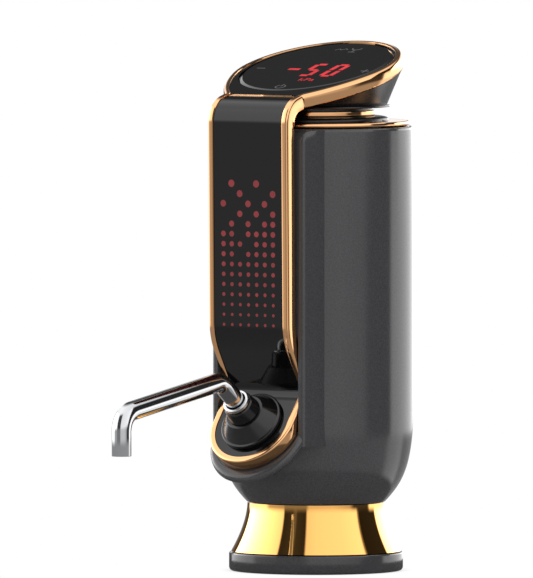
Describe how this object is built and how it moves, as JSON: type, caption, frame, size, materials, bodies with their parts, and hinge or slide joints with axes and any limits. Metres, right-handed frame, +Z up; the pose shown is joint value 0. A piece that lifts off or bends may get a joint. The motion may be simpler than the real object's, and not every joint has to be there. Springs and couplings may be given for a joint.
{
  "type": "wine preservation dispenser",
  "caption": "Electric wine preserver and pourer that stands on a flared metal foot over a bottle neck, with a tilted touch display head, a front light panel and a swivelling spout tube.",
  "frame": {"origin": "centre of the overall footprint at the height of the resting face", "axes": "+X to the unit's right as a user faces it, -Y to the front where the spout pours, +Z up"},
  "size_m": [0.06, 0.1354, 0.1633],
  "materials": {
    "shell_paint": "moulded plastic with satin charcoal metallic paint",
    "base_paint": "satin charcoal paint on cast metal",
    "gold_metal": "polished rose gold plating",
    "gloss_panel": "piano black, high gloss",
    "touch_glass": "black-backed polished glass",
    "black_plastic": "satin black",
    "steel": "polished stainless steel",
    "silicone": "matte silicone rubber",
    "hose_silicone": "milky soft hose",
    "circuit_board": "satin solder mask",
    "light_plastic": "moulded white",
    "battery_wrap": "shrink sleeve"
  },
  "bodies": {
    "dispenser": {"outer_shell": "shell_paint", "panel_trim": "gold_metal", "head_rim": "gold_metal", "front_panel": "gloss_panel", "head_plate": "gloss_panel", "touch_glass": "touch_glass", "display_board": "circuit_board", "digit_display": "light_plastic", "head_housing": "black_plastic", "neck_ring": "gold_metal", "neck_core": "black_plastic", "neck_band": "gold_metal", "base_ring": "base_paint", "base_skirt": "gold_metal", "base_core": "black_plastic", "base_screw_1": "steel", "base_screw_2": "steel", "base_screw_3": "steel", "base_screw_4": "steel", "bottle_seal": "silicone", "bottom_plate": "black_plastic", "suction_inlet": "steel", "air_port": "steel", "spout_boss": "black_plastic", "spout_collar": "black_plastic", "spout_seal": "silicone", "outlet_pipe": "steel", "inner_frame": "light_plastic", "main_board": "circuit_board", "led_board": "circuit_board", "battery": "battery_wrap", "air_pump_motor": "steel", "air_pump_head": "light_plastic", "vacuum_pump_motor": "steel", "vacuum_pump_head": "light_plastic", "valve_body": "black_plastic", "wine_hose": "hose_silicone", "air_hose": "hose_silicone", "charge_port": "steel", "charge_board": "circuit_board"},
    "spout": {"spout_tube": "steel", "spout_ring": "steel"},
    "air_pump_cam": {"air_pump_eccentric": "black_plastic"},
    "vacuum_pump_cam": {"vacuum_pump_eccentric": "black_plastic"},
    "valve_plunger": {"valve_plunger": "steel"}
  },
  "joints": [
    {"name": "spout_swivel", "type": "hinge", "parent": "dispenser", "child": "spout", "pos_m": [0, 0.00406, 0.04699], "axis": [0, -0.788, 0.6157], "range_deg": [-90, 90]},
    {"name": "air_pump_spin", "type": "hinge", "parent": "dispenser", "child": "air_pump_cam", "pos_m": [0.0118, 0.04982, 0.0571], "axis": [0, 0, 1], "continuous": true},
    {"name": "vacuum_pump_spin", "type": "hinge", "parent": "dispenser", "child": "vacuum_pump_cam", "pos_m": [0.0118, 0.04982, 0.0917], "axis": [0, 0, 1], "continuous": true},
    {"name": "valve_lift", "type": "slide", "parent": "dispenser", "child": "valve_plunger", "axis": [0, 0, 1], "range_m": [0, 0.0012], "stiffness_N_per_m": 60}
  ]
}
